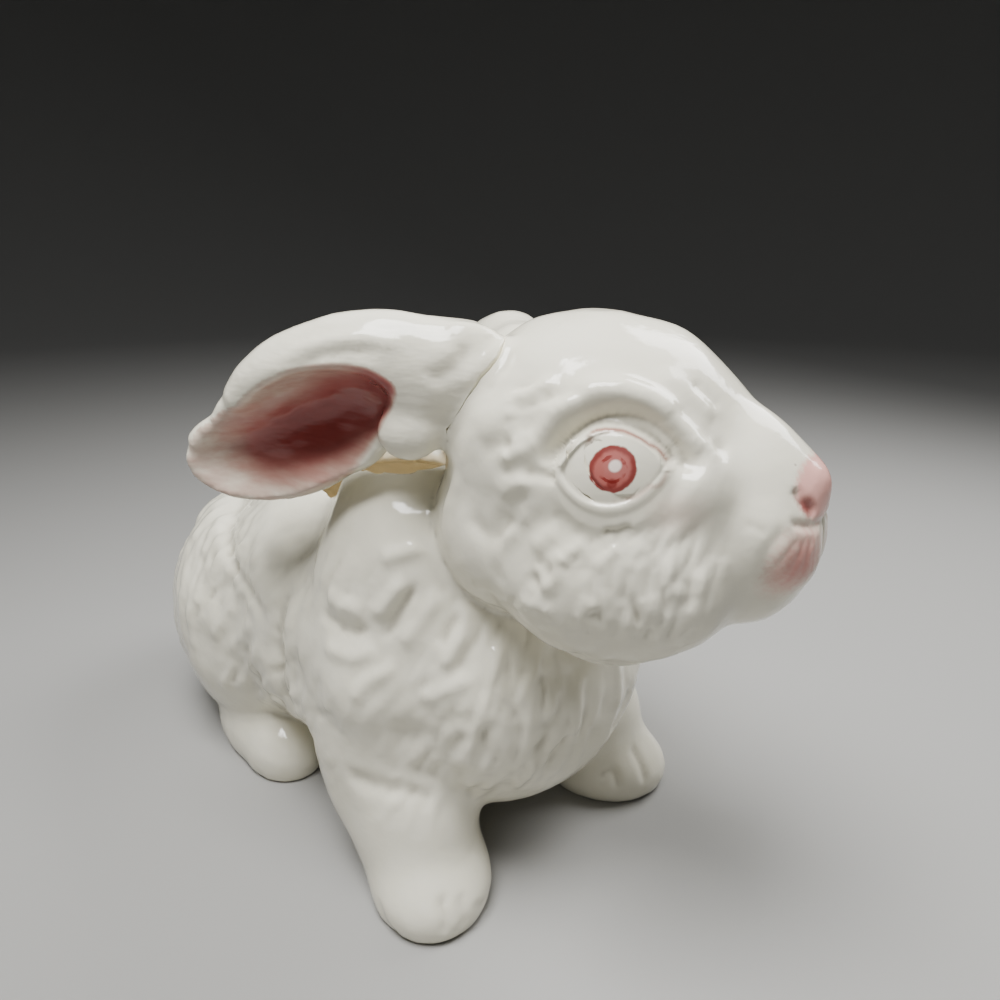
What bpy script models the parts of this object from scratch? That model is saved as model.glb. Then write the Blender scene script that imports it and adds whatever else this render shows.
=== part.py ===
"""A slip-cast ceramic rabbit planter, modelled as the castings that it is luted together from.

The rabbit crouches with its head turned to its left and its ears laid back over the mouth of the pot.
It faces -Y, its left side is +X, and it stands on the plane z = 0. All sizes are in metres.
Each casting is clay lumps pressed into one skin: round lumps are joined by a voxel remesh, rubbed smooth
and thinned to fewer triangles. A neighbour's skin, grown by the joint's clearance, trims it to its seat.
"""

import math

import bmesh
import bpy
from mathutils import Matrix, Vector

# Clay and joints
WALL = 0.0055
JOINT_GAP = 0.0004

# The pot: chest, barrel and rump in one casting
POT_LENGTH = 0.205
POT_WIDTH = 0.118
WITHERS_HEIGHT = 0.133
RUMP_HEIGHT = 0.105
CHEST_CLEARANCE = 0.015
CHEST_SWING = 0.006
POT_MIDDLE_Y = 0.0205

# The mouth of the pot, in its back
MOUTH_LENGTH = 0.088
MOUTH_WIDTH = 0.056
MOUTH_SQUARENESS = 4.5
MOUTH_TAPER = 0.20
MOUTH_DEPTH = 0.050

# The head, with its middle this high
HEAD_LENGTH = 0.102
HEAD_HEIGHT = 0.086
HEAD_WIDTH = 0.074
HEAD_MIDDLE = 0.129
HEAD_TURN = math.radians(19)
HEAD_REACH = 0.004
HEAD_WALL = 0.009
NECK_BORE = 0.026

# The eyes
EYE_DIAMETER = 0.022
EYE_SPACING = 0.037

# The ears
EAR_LENGTH = 0.090
EAR_WIDTH = 0.050
EAR_THICKNESS = 0.024
EAR_RIM = 0.0045
RIGHT_EAR_SPREAD = math.radians(9)
LEFT_EAR_SPREAD = math.radians(40)
RIGHT_EAR_RISE = 0.027
LEFT_EAR_RISE = 0.022
EAR_DROOP = math.radians(17.5)
EAR_ROLL = math.radians(10)

# The forelegs, which end in paws
PAW_SPREAD = 0.040
PAW_WIDTH = 0.038
PAW_LENGTH = 0.046
PAW_SPLAY = math.radians(34)
FORELEG_WIDTH = 0.038

# The hind feet
FOOT_SPREAD = 0.038
FOOT_WIDTH = 0.029
FOOT_LENGTH = 0.074
FOOT_HEIGHT = 0.022

# The tail
TAIL_WIDTH = 0.032

GLAZE_WHITE = (0.86, 0.85, 0.80)
EAR_BLUSH = (0.80, 0.68, 0.65)


def clear_scene():
    """Remove the startup objects."""
    for thing in list(bpy.data.objects):
        bpy.data.objects.remove(thing, do_unlink=True)


def new_collection(name):
    """A collection in the scene."""
    made = bpy.data.collections.new(name)
    bpy.context.scene.collection.children.link(made)
    return made


def glaze(piece, colour):
    """The glossy glaze on one casting."""
    made = bpy.data.materials.new(piece + " glaze")
    made.use_nodes = True
    shader = made.node_tree.nodes["Principled BSDF"]
    shader.inputs["Base Color"].default_value = (*colour, 1.0)
    shader.inputs["Roughness"].default_value = 0.18
    shader.inputs["Metallic"].default_value = 0.0
    return made


class Lump:
    """One ball of clay: an ellipsoid with its centre, its three radii and its tilt about X, Y and Z."""

    def __init__(self, centre, radii, tilt=(0, 0, 0)):
        self.centre = Vector(centre)
        self.radii = Vector(radii)
        self.tilt = tilt

    def matrix(self, inset=0.0):
        """Where a unit sphere goes to make this lump, with its skin drawn in by the inset."""
        turn = Matrix.Identity(4)
        for angle, axis in zip(self.tilt, "XYZ"):
            turn = Matrix.Rotation(angle, 4, axis) @ turn
        shrunk = [radius - inset for radius in self.radii]
        return Matrix.Translation(self.centre) @ turn @ Matrix.Diagonal((*shrunk, 1))


def pair(lump, middle=0.0):
    """A lump of the left side and its twin on the right, across the plane x = middle."""
    x, y, z = lump.centre
    pitch, roll, yaw = lump.tilt
    return [lump, Lump((2 * middle - x, y, z), lump.radii, (pitch, -roll, -yaw))]


def add_mesh(name, bm, collection):
    """The bmesh as an object of the collection."""
    mesh = bpy.data.meshes.new(name)
    bm.to_mesh(mesh)
    bm.free()
    made = bpy.data.objects.new(name, mesh)
    collection.objects.link(made)
    return made


def balls(lumps, place, inset=0.0):
    """A bmesh of unit spheres stretched to the lumps."""
    bm = bmesh.new()
    for lump in lumps:
        where = place @ lump.matrix(inset)
        bmesh.ops.create_uvsphere(bm, u_segments=48, v_segments=24, radius=1, matrix=where)
    return bm


def rub_smooth(thing, grain, rubs):
    """Join the thing's lumps into one skin of the grain's fineness, and rub out the creases."""
    remesh = thing.modifiers.new("join the clay", "REMESH")
    remesh.mode = "VOXEL"
    remesh.voxel_size = grain
    rub = thing.modifiers.new("rub smooth", "SMOOTH")
    rub.factor = 0.5
    rub.iterations = rubs


def thin_out(thing, share):
    """Keep only a share of the thing's triangles, and even out the corners that are left."""
    thinner = thing.modifiers.new("thin out", "DECIMATE")
    thinner.ratio = share
    thinner.use_collapse_triangulate = True
    even = thing.modifiers.new("even out", "SMOOTH")
    even.factor = 0.3
    even.iterations = 2


def baked(thing, name, collection):
    """A copy of the thing as a plain mesh, with its modifiers worked in."""
    graph = bpy.context.evaluated_depsgraph_get()
    mesh = bpy.data.meshes.new_from_object(thing.evaluated_get(graph))
    mesh.name = name
    made = bpy.data.objects.new(name, mesh)
    made.matrix_world = thing.matrix_world
    collection.objects.link(made)
    return made


def as_cutter(thing):
    """Keep the thing out of the model: it only cuts."""
    thing.hide_render = True
    thing.display_type = "WIRE"
    return thing


def grown(thing, name, amount):
    """A cutter whose skin lies the amount outside the thing's."""
    made = as_cutter(baked(thing, name, cutters))
    swell = made.modifiers.new("clearance", "DISPLACE")
    swell.strength = amount
    swell.mid_level = 0.0
    return made


def boolean(thing, other, operation):
    """Cut the thing with the other one, or join them."""
    cut = thing.modifiers.new(operation.lower() + " " + other.name, "BOOLEAN")
    cut.operation = operation
    cut.object = other
    cut.solver = "EXACT"


def floor_cutter():
    """A block that takes off whatever reaches below the table."""
    bm = bmesh.new()
    side = 0.6
    bmesh.ops.create_cube(bm, size=side, matrix=Matrix.Translation((0, 0, -side / 2)))
    return as_cutter(add_mesh("table", bm, cutters))


def drop_crumbs(mesh):
    """Keep only the mesh's largest island: a cut can leave a crumb of clay beside it."""
    bm = bmesh.new()
    bm.from_mesh(mesh)
    unseen = set(bm.verts)
    islands = []
    while unseen:
        start = unseen.pop()
        island = [start]
        edge_of_search = [start]
        while edge_of_search:
            corner = edge_of_search.pop()
            for edge in corner.link_edges:
                other = edge.other_vert(corner)
                if other in unseen:
                    unseen.remove(other)
                    island.append(other)
                    edge_of_search.append(other)
        islands.append(island)
    islands.sort(key=len)
    crumbs = [corner for island in islands[:-1] for corner in island]
    bmesh.ops.delete(bm, geom=crumbs, context="VERTS")
    bm.to_mesh(mesh)
    bm.free()


def cast(name, form, cuts, colour=GLAZE_WHITE):
    """A finished casting: its form with the cuts taken off it.

    A neighbour cuts twice, grown by the clearance and as it is, since a grown skin can dip in a crease.
    """
    blank = as_cutter(baked(form, name + " blank", cutters))
    for cut in cuts:
        boolean(blank, cut, "DIFFERENCE")
    made = baked(blank, name, castings)
    drop_crumbs(made.data)
    made.data.materials.clear()
    made.data.materials.append(glaze(name, colour))
    made.data.shade_smooth()
    made.data.set_sharp_from_angle(angle=math.radians(50))
    return made


def chest_y():
    """How far forward the chest's middle stands."""
    return POT_MIDDLE_Y + POT_LENGTH * 0.19 - POT_LENGTH / 2


def rump_y():
    """How far back the rump's middle stands."""
    return POT_MIDDLE_Y + POT_LENGTH / 2 - POT_LENGTH * 0.225


def head_y():
    """How far forward the head's middle stands."""
    return POT_MIDDLE_Y - POT_LENGTH / 2 - HEAD_REACH


def trunk_lumps():
    """The pot's masses, from the rump forward to the collar that the head sits on."""
    half = POT_WIDTH / 2
    front_y = chest_y()
    back_y = rump_y()
    chest_high = (WITHERS_HEIGHT - 0.022 - CHEST_CLEARANCE) / 2
    rump_high = RUMP_HEIGHT / 2
    side_x = half * 0.56
    middle_y = (back_y + front_y) / 2
    haunch = Lump((half * 0.58, back_y - 0.010, rump_high * 0.88), (half * 0.41, 0.043, rump_high * 0.84))
    chest_x = CHEST_SWING
    saddle = Lump((half * 0.40, middle_y - 0.004, RUMP_HEIGHT - 0.023), (half * 0.46, 0.064, 0.032))
    shoulder = Lump((side_x + chest_x, front_y + 0.018, 0.064), (half * 0.45, 0.037, 0.052))
    collar_at = (side_x * 0.66 + chest_x, front_y + 0.014, WITHERS_HEIGHT - 0.036)
    collar = Lump(collar_at, (half * 0.52, 0.034, 0.036))
    chest_at = (chest_x, front_y, CHEST_CLEARANCE + chest_high)
    return [
        Lump((0, back_y, rump_high - 0.0025), (half * 0.90, POT_LENGTH * 0.225, rump_high)),
        *pair(haunch),
        Lump((0, middle_y, 0.064), (half * 0.91, POT_LENGTH * 0.34, 0.055)),
        *pair(saddle, chest_x / 2),
        *pair(shoulder, chest_x),
        Lump(chest_at, (half * 0.83, POT_LENGTH * 0.19, chest_high)),
        *pair(collar, chest_x),
    ]


def head_place():
    """The head's own frame: its origin is the head's middle, it faces -Y and +X is its left."""
    middle = Vector((CHEST_SWING / 2, head_y(), HEAD_MIDDLE))
    return Matrix.Translation(middle) @ Matrix.Rotation(HEAD_TURN, 4, "Z")


def head_lumps():
    """The skull, throat, cheeks, muzzle, chin, nose and brows, in the head's frame."""
    long, high, wide = HEAD_LENGTH / 2, HEAD_HEIGHT / 2, HEAD_WIDTH / 2
    cheek = Lump((wide * 0.36, -long * 0.04, -high * 0.30), (wide * 0.61, long * 0.66, high * 0.60))
    temple = Lump((wide * 0.36, -long * 0.22, high * 0.14), (wide * 0.40, long * 0.42, high * 0.42))
    lip = Lump((wide * 0.13, -long * 0.83, -high * 0.14), (0.0085, long * 0.14, 0.0115))
    brow_tilt = (math.radians(10), 0, 0)
    brow = Lump((wide * 0.57, -long * 0.10, high * 0.58), (0.0060, 0.0150, 0.0060), brow_tilt)
    bridge_at = (0, -long * 0.64, high * 0.20)
    bridge = Lump(bridge_at, (wide * 0.38, long * 0.38, high * 0.28), (math.radians(36), 0, 0))
    return [
        Lump((0, long * 0.13, high * 0.21), (wide * 0.89, long * 0.77, high * 0.79)),
        Lump((0, long * 0.40, -high * 0.28), (wide * 0.80, long * 0.56, high * 0.60)),
        *pair(cheek),
        *pair(temple),
        bridge,
        Lump((0, -long * 0.64, -high * 0.10), (wide * 0.54, long * 0.32, high * 0.40)),
        Lump((0, -long * 0.56, -high * 0.34), (wide * 0.46, long * 0.36, high * 0.33)),
        *pair(lip),
        Lump((0, -long * 0.855, high * 0.15), (0.0080, long * 0.125, 0.0070)),
        *pair(brow),
    ]


def eye_lump(side):
    """One eyeball, in the head's frame."""
    radius = EYE_DIAMETER / 2
    centre = (side * EYE_SPACING / 2, -HEAD_LENGTH * 0.098, HEAD_HEIGHT * 0.168)
    return Lump(centre, (radius, radius, radius))


def ear_place(side):
    """An ear's own frame: +X runs from its root to its tip, +Y is up across it, +Z faces out of its cup."""
    spread = LEFT_EAR_SPREAD if side > 0 else RIGHT_EAR_SPREAD
    rise = LEFT_EAR_RISE if side > 0 else RIGHT_EAR_RISE
    root = Vector((side * HEAD_WIDTH * 0.27, HEAD_LENGTH * 0.34, rise))
    level = Vector((side * math.sin(spread), math.cos(spread), 0))
    along = level * math.cos(EAR_DROOP) - Vector((0, 0, math.sin(EAR_DROOP)))
    out = Vector((side * math.cos(spread), -math.sin(spread), -math.tan(EAR_ROLL)))
    out = (out - out.dot(along) * along).normalized()
    up = out.cross(along) * side
    turn = Matrix((along, up, out)).transposed().to_4x4()
    return head_place() @ Matrix.Translation(root) @ turn


def ear_lumps():
    """The ear's blade, its rounded end and its root, in the ear's frame."""
    long, width, thick = EAR_LENGTH, EAR_WIDTH / 2, EAR_THICKNESS / 2
    root_at = (long * 0.10, width * 0.06, -thick * 0.2)
    return [
        Lump((long * 0.355, width * 0.32, 0), (long * 0.40, width * 0.64, thick)),
        Lump((long * 0.665, -width * 0.24, 0), (long * 0.32, width * 0.56, thick * 0.92), (0, 0, 0.12)),
        Lump((long * 0.40, -width * 0.32, 0), (long * 0.155, width * 0.36, thick * 0.9)),
        Lump(root_at, (long * 0.26, width * 0.56, thick), (0, 0, -0.10)),
    ]


def lobe_lump():
    """The small lobe that closes the cup where the ear meets the cheek, in the ear's frame."""
    long, width, thick = EAR_LENGTH, EAR_WIDTH / 2, EAR_THICKNESS / 2
    return Lump((long * 0.155, -width * 0.34, thick * 0.40), (long * 0.100, width * 0.30, thick * 0.52))


def cup_lumps():
    """The hollow of the ear, which leaves a thick rolled upper rim and a thin lower one."""
    long, width, thick = EAR_LENGTH, EAR_WIDTH / 2, EAR_THICKNESS / 2
    lift = thick * 1.25
    depth = thick * 2.0 - EAR_RIM
    tip_depth = thick * 1.85 - EAR_RIM
    return [
        Lump((long * 0.465, -width * 0.05, lift), (long * 0.345, width * 0.64, depth), (0, 0, -0.12)),
        Lump((long * 0.69, -width * 0.16, lift), (long * 0.285, width * 0.62, tip_depth), (0, 0, 0.10)),
    ]


def foreleg_lumps():
    """The left foreleg's column, which leans forwards to the paw, and the paw, which turns outwards."""
    paw = Vector((PAW_SPREAD + CHEST_SWING, chest_y() - 0.009, 0.006))
    half = FORELEG_WIDTH / 2
    return [
        Lump(paw + Vector((0.000, 0.023, 0.033)), (half * 1.08, half * 1.16, 0.033)),
        Lump(paw + Vector((-0.001, 0.010, 0.017)), (half * 1.02, half * 1.12, 0.027)),
        Lump(paw, (PAW_WIDTH / 2, PAW_LENGTH / 2, 0.0155), (0, 0, PAW_SPLAY)),
    ]


def hind_foot_lumps():
    """The left hind foot, flat along the ground under the haunch."""
    heel_y = rump_y()
    long = FOOT_LENGTH
    high = FOOT_HEIGHT * 0.7
    rise = FOOT_HEIGHT - high
    return [
        Lump((FOOT_SPREAD, heel_y - long * 0.38, rise), (FOOT_WIDTH / 2, long * 0.44, high)),
        Lump((FOOT_SPREAD, heel_y - long * 0.58, rise), (FOOT_WIDTH / 2, long * 0.24, high)),
    ]


def tail_lumps():
    """The tail's puff, on the back of the rump."""
    radius = TAIL_WIDTH / 2
    back_y = POT_MIDDLE_Y + POT_LENGTH / 2
    return [Lump((0, back_y - radius * 0.1, RUMP_HEIGHT * 0.33), (radius, radius * 0.8, radius * 1.15))]


def mirrored(lumps, side, middle=0.0):
    """The left side's lumps for side 1, or their twins for side -1."""
    return [pair(lump, middle)[0 if side > 0 else 1] for lump in lumps]


def clay(name, lumps, place, grain, rubs, share, inset=0.0):
    """A form: its lumps joined, rubbed smooth and thinned out."""
    made = as_cutter(add_mesh(name, balls(lumps, place, inset), cutters))
    rub_smooth(made, grain, rubs)
    thin_out(made, share)
    return made


def carve_head():
    """The head's form, with an almond socket cut round each eyeball."""
    skull = as_cutter(add_mesh("head form", balls(head_lumps(), head_place()), cutters))
    rub_smooth(skull, 0.0017, 14)
    for side, word in ((1, "left"), (-1, "right")):
        ball = eye_lump(side)
        reach = Vector((side * EYE_DIAMETER * 0.46, 0, 0))
        slot = Lump(ball.centre + reach, (EYE_DIAMETER * 0.22, EYE_DIAMETER * 0.50, EYE_DIAMETER * 0.37))
        socket = as_cutter(add_mesh(word + " socket", balls([slot], head_place()), cutters))
        eye = as_cutter(add_mesh(word + " eyeball", balls([ball], head_place()), cutters))
        boolean(skull, socket, "DIFFERENCE")
        boolean(skull, eye, "UNION")
    thin_out(skull, 0.13)
    return skull


def shape_ear(side, word):
    """An ear's form, with its cup hollowed out behind the lobe."""
    ear = as_cutter(add_mesh(word + " ear form", balls(ear_lumps(), ear_place(side)), cutters))
    rub_smooth(ear, 0.0015, 24)
    cup = clay(word + " ear cup", cup_lumps(), ear_place(side), 0.0015, 6, 0.30)
    lobe = as_cutter(add_mesh(word + " ear lobe", balls([lobe_lump()], ear_place(side)), cutters))
    boolean(ear, cup, "DIFFERENCE")
    boolean(ear, lobe, "UNION")
    thin_out(ear, 0.045)
    return ear


def mouth_cutter():
    """An upright post that opens the pot's back: in plan a rounded box that narrows to the rump."""
    bm = bmesh.new()
    deep = MOUTH_DEPTH * 2
    bmesh.ops.create_cone(bm, cap_ends=True, segments=48, radius1=1, radius2=1, depth=deep)
    middle_y = head_y() + HEAD_LENGTH * 0.44 + MOUTH_LENGTH / 2
    for corner in bm.verts:
        x, y, z = corner.co
        x = math.copysign(abs(x) ** (2 / MOUTH_SQUARENESS), x)
        y = math.copysign(abs(y) ** (2 / MOUTH_SQUARENESS), y)
        x *= (1 - MOUTH_TAPER * y) * MOUTH_WIDTH / 2
        corner.co = (x, middle_y + y * MOUTH_LENGTH / 2, z + RUMP_HEIGHT)
    return as_cutter(add_mesh("mouth", bm, cutters))


def neck_cutter():
    """The upright hole that lets the head drain into the pot while it is cast."""
    bm = bmesh.new()
    bottom = HEAD_MIDDLE - HEAD_HEIGHT * 0.7
    high = HEAD_MIDDLE - bottom
    place = Matrix.Translation((CHEST_SWING / 2, head_y() + HEAD_LENGTH * 0.24, bottom + high / 2))
    half = NECK_BORE / 2
    bmesh.ops.create_cone(bm, cap_ends=True, segments=32, radius1=half, radius2=half, depth=high, matrix=place)
    return as_cutter(add_mesh("neck bore", bm, cutters))


def build():
    """Model every casting."""
    here = Matrix.Identity(4)
    table = floor_cutter()
    mouth = mouth_cutter()
    bore = neck_cutter()

    trunk = clay("trunk form", trunk_lumps(), here, 0.0026, 45, 0.105)
    skull = carve_head()
    trunk_seat = grown(trunk, "trunk seat", JOINT_GAP)
    skull_seat = grown(skull, "head seat", JOINT_GAP)
    pot_hollow = clay("pot hollow", trunk_lumps(), here, 0.0034, 14, 0.07, inset=WALL)
    head_hollow = clay("head hollow", head_lumps()[:6], head_place(), 0.0034, 4, 0.15, inset=HEAD_WALL)

    body_cuts = [pot_hollow, mouth, bore, skull_seat, skull, table]
    cast("planter_body", trunk, body_cuts)
    cast("head", skull, [head_hollow, bore])

    for side, word in ((1, "left"), (-1, "right")):
        ear = shape_ear(side, word)
        cast(word + "_ear", ear, [skull_seat, skull, trunk_seat, trunk], EAR_BLUSH)

        leg_lumps = mirrored(foreleg_lumps(), side, CHEST_SWING)
        leg = clay(word + " leg form", leg_lumps, here, 0.0018, 30, 0.068)
        cast(word + "_foreleg", leg, [trunk_seat, trunk, table])

        sole = clay(word + " foot form", mirrored(hind_foot_lumps(), side), here, 0.0018, 8, 0.07)
        cast(word + "_hind_foot", sole, [trunk_seat, trunk, table])

    puff = clay("tail form", tail_lumps(), here, 0.0018, 3, 0.11)
    cast("tail", puff, [trunk_seat, trunk])


clear_scene()
castings = new_collection("ceramic rabbit planter")
cutters = new_collection("cutters")
build()
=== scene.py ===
import math

import bmesh
import bpy
import numpy as np
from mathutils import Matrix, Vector
from mathutils.bvhtree import BVHTree
from mathutils.kdtree import KDTree


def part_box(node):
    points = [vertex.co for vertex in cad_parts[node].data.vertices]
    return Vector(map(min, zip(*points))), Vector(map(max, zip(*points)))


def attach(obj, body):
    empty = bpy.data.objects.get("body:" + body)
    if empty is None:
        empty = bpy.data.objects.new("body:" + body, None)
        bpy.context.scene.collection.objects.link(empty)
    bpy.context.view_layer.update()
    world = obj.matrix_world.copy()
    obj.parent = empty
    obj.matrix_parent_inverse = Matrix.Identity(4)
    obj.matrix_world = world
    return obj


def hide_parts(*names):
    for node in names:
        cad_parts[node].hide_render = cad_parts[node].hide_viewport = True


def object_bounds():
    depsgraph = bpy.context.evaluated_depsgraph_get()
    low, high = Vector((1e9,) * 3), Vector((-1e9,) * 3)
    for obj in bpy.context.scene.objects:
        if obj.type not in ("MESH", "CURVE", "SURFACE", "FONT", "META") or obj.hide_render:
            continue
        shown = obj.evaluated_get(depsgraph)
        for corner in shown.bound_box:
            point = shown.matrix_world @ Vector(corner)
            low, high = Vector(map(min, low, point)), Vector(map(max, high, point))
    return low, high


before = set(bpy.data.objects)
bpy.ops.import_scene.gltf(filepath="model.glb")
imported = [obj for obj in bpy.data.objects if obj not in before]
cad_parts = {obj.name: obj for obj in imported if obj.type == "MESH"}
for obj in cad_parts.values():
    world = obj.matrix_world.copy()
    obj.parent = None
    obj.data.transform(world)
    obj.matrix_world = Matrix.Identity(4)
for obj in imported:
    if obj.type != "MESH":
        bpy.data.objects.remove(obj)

cad_box = np.array([list(corner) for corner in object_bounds()])


# The clay. The rabbit is white earthenware, slip-cast in plaster moulds as a pot, a head, two ears, legs,
# feet and a tail. They are luted with slip while damp and sponged over, so they have one skin. It is worked
# in that state here, carved and pressed all over, and parted into its nine castings when it is done.
MM = 0.001
CASTINGS = [
    "head", "left_ear", "right_ear", "left_foreleg", "right_foreleg",
    "left_hind_foot", "right_hind_foot", "tail", "planter_body",
]
HEAD, FORELEGS, POT = 0, (3, 4), 8
HEAD_AND_EARS = (0, 1, 2)
JOINT_CLOSED = 0.3
SKIN_GRAIN = 1.1 * MM


def stood(name, shape):
    """The bmesh as an object of the scene."""
    mesh = bpy.data.meshes.new(name)
    shape.to_mesh(mesh)
    shape.free()
    made = bpy.data.objects.new(name, mesh)
    bpy.context.scene.collection.objects.link(made)
    return made


def worked(thing):
    """The thing with its modifiers worked into its mesh."""
    graph = bpy.context.evaluated_depsgraph_get()
    mesh = bpy.data.meshes.new_from_object(thing.evaluated_get(graph))
    thing.modifiers.clear()
    thing.data = mesh
    return thing


def merged(casting):
    """A bmesh copy of a casting with its corners merged."""
    piece = bmesh.new()
    piece.from_mesh(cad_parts[casting].data)
    bmesh.ops.remove_doubles(piece, verts=piece.verts, dist=0.01 * MM)
    piece.normal_update()
    return piece


def luted(name, castings, grain):
    """One closed skin round copies of the castings, swollen enough to close their joints."""
    clay = bmesh.new()
    for casting in castings:
        shape = bpy.data.meshes.new(casting)
        piece = merged(casting)
        for corner in piece.verts:
            corner.co += corner.normal * JOINT_CLOSED * MM
        piece.to_mesh(shape)
        piece.free()
        clay.from_mesh(shape)
        bpy.data.meshes.remove(shape)
    made = stood(name, clay)
    remesh = made.modifiers.new("join", "REMESH")
    remesh.mode = "VOXEL"
    remesh.voxel_size = grain
    return worked(made)


def listed(items, name, kind=float, width=1):
    """One value, or one row of values, for each of a mesh's items."""
    values = np.empty(len(items) * width, dtype=kind)
    items.foreach_get(name, values)
    return values.reshape(-1, width) if width > 1 else values


def corners(thing):
    """The mesh's corners, one row each."""
    return listed(thing.data.vertices, "co", width=3)


def facings(thing):
    """The way each corner faces."""
    return listed(thing.data.vertex_normals, "vector", width=3)


def move(thing, rows):
    """Put the corners where the rows say, but never outside the CAD's box."""
    thing.data.vertices.foreach_set("co", np.clip(rows, cad_box[0], cad_box[1]).ravel())
    thing.data.update()


def fade(value, low, high):
    """0 up to low and 1 from high, with a smooth slope between."""
    t = np.clip((value - low) / (high - low), 0, 1)
    return t * t * (3 - 2 * t)


def edge_ends(thing):
    """The corner at each edge's one end and the corner at its other."""
    return listed(thing.data.edges, "vertices", int, 2).T


def sponge(thing, amount, rubs):
    """Rub each corner towards its neighbours' middle, by its own amount from 0 to 1."""
    one, other = edge_ends(thing)
    rows = corners(thing)
    count = len(rows)
    amount = np.broadcast_to(amount, count)
    wet = (amount[one] > 0) | (amount[other] > 0)
    one, other = one[wet], other[wet]
    near = np.maximum(np.bincount(one, minlength=count) + np.bincount(other, minlength=count), 1)
    soft = np.flatnonzero((amount > 0) & (near > 1))
    share = 0.5 * amount[soft, None]
    for _ in range(rubs):
        middle = np.empty_like(rows)
        for axis in range(3):
            total = np.bincount(one, rows[other, axis], count)
            total += np.bincount(other, rows[one, axis], count)
            middle[:, axis] = total / near
        rows[soft] += (middle[soft] - rows[soft]) * share
    move(thing, rows)


SKY_WAYS = 20
GOLDEN_TURN = 2.4


def open_faces():
    """A tree of all the castings' faces, whose each is, and how much of the sky round it is open."""
    spots, faces, whose = [], [], []
    for number, casting in enumerate(CASTINGS):
        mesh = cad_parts[casting].data
        start = len(spots)
        spots += [corner.co.copy() for corner in mesh.vertices]
        faces += [[start + corner for corner in face.vertices] for face in mesh.polygons]
        whose += [number] * len(mesh.polygons)
    tree = BVHTree.FromPolygons(spots, faces)
    ways = []
    for step in range(SKY_WAYS):
        height = 1 - (2 * step + 1) / SKY_WAYS
        ring, turn = math.sqrt(1 - height * height), GOLDEN_TURN * step
        ways.append(Vector((ring * math.cos(turn), ring * math.sin(turn), height)))
    sky = []
    for face in faces:
        one, two, three = [spots[corner] for corner in face[:3]]
        up = (two - one).cross(three - one).normalized()
        start = (one + two + three) / 3 + up * 0.5 * MM
        tried = [way for way in ways if way.dot(up) > 0.15]
        sky.append(sum(tree.ray_cast(start, way)[0] is None for way in tried) / max(len(tried), 1))
    return tree, np.array(whose), np.array(sky)


def looked_up(rows):
    """Whose face is nearest to each row, and how much of the sky is open there."""
    faces = np.array([cad_tree.find_nearest(row)[2] for row in rows])
    return cad_whose[faces], cad_sky[faces]


def clearances(rows, reach):
    """How far each row near two or more castings lies from each of them, up to the reach."""
    far = np.full((len(CASTINGS), len(rows)), reach)
    boxes = []
    for casting in CASTINGS:
        low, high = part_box(casting)
        boxes.append(np.all((rows > np.array(low) - reach) & (rows < np.array(high) + reach), axis=1))
    shared = np.sum(boxes, axis=0) > 1
    for number, casting in enumerate(CASTINGS):
        piece = merged(casting)
        tree = BVHTree.FromBMesh(piece)
        for corner in np.flatnonzero(boxes[number] & shared):
            hit = tree.find_nearest(rows[corner], reach)
            if hit[0] is not None:
                far[number, corner] = hit[3]
        piece.free()
    return far


skin = luted("clay", CASTINGS, SKIN_GRAIN)
cad_tree, cad_whose, cad_sky = open_faces()

# The walls of the two hollows see little of the sky. They are thinned to a fifth of their faces, but less so
# near the pot's rim, where they show.
RIM_FROM = 96 * MM
THINNED_BY = 0.8
owner, sky = looked_up(corners(skin))
below_rim = (owner != POT) | (corners(skin)[:, 2] < RIM_FROM)
deep = sky < np.where(below_rim, 0.13, 0.07)
hidden = skin.vertex_groups.new(name="hidden")
hidden.add([int(corner) for corner in np.flatnonzero(deep)], 1.0, "REPLACE")
deep_share = np.mean([all(deep[corner] for corner in face.vertices) for face in skin.data.polygons])
thin = skin.modifiers.new("thin", "DECIMATE")
thin.ratio = 1 - THINNED_BY * deep_share
thin.vertex_group = "hidden"
worked(skin)
skin.vertex_groups.clear()
rows = corners(skin)
owner, sky = looked_up(rows)

# The slip is rubbed out from each joint. The millimetres are listed for each casting but the pot.
FILLETS = [3.0, 5.0, 5.0, 8.0, 9.0, 3.0, 3.0, 4.0]
far = clearances(rows, 10 * MM)
damp = np.zeros(len(rows))
for number, fillet in enumerate(FILLETS):
    others = np.min(np.delete(far, number, axis=0), axis=0)
    damp = np.maximum(damp, 1 - fade(np.maximum(far[number], others), 0.4 * MM, fillet * MM))
sponge(skin, damp, 50)
ankles = np.isin(owner, FORELEGS) * fade(rows[:, 2], 8 * MM, 16 * MM)
sponge(skin, ankles, 45)
sponge(skin, 0.8, 4)


# The carving. The modeller cut the fur as leaf-shaped tufts that lie over each other like shingles, gouged
# hollows between them, and rolled and pressed the face. The moulds, and then the glaze, round all of it off.
# A stroke is a width, a height (a hollow's is below zero) and the points that the tool went through, in mm.
def index(rows):
    """A tree that finds the rows near a place."""
    tree = KDTree(len(rows))
    for number, row in enumerate(rows):
        tree.insert(row, number)
    tree.balance()
    return tree


def curve_through(points, fineness=10):
    """A smooth line through the points, as many short steps."""
    points = np.array(points, dtype=float)
    padded = np.vstack([2 * points[0] - points[1], points, 2 * points[-1] - points[-2]])
    steps = np.linspace(0, 1, fineness, endpoint=False)[:, None]
    line = []
    for a, b, c, d in zip(padded, padded[1:], padded[2:], padded[3:]):
        bend = (2 * a - 5 * b + 4 * c - d) * steps ** 2 + (3 * b - a - 3 * c + d) * steps ** 3
        line.append(0.5 * (2 * b + (c - a) * steps + bend))
    return np.vstack([*line, points[-1:]])


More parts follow.
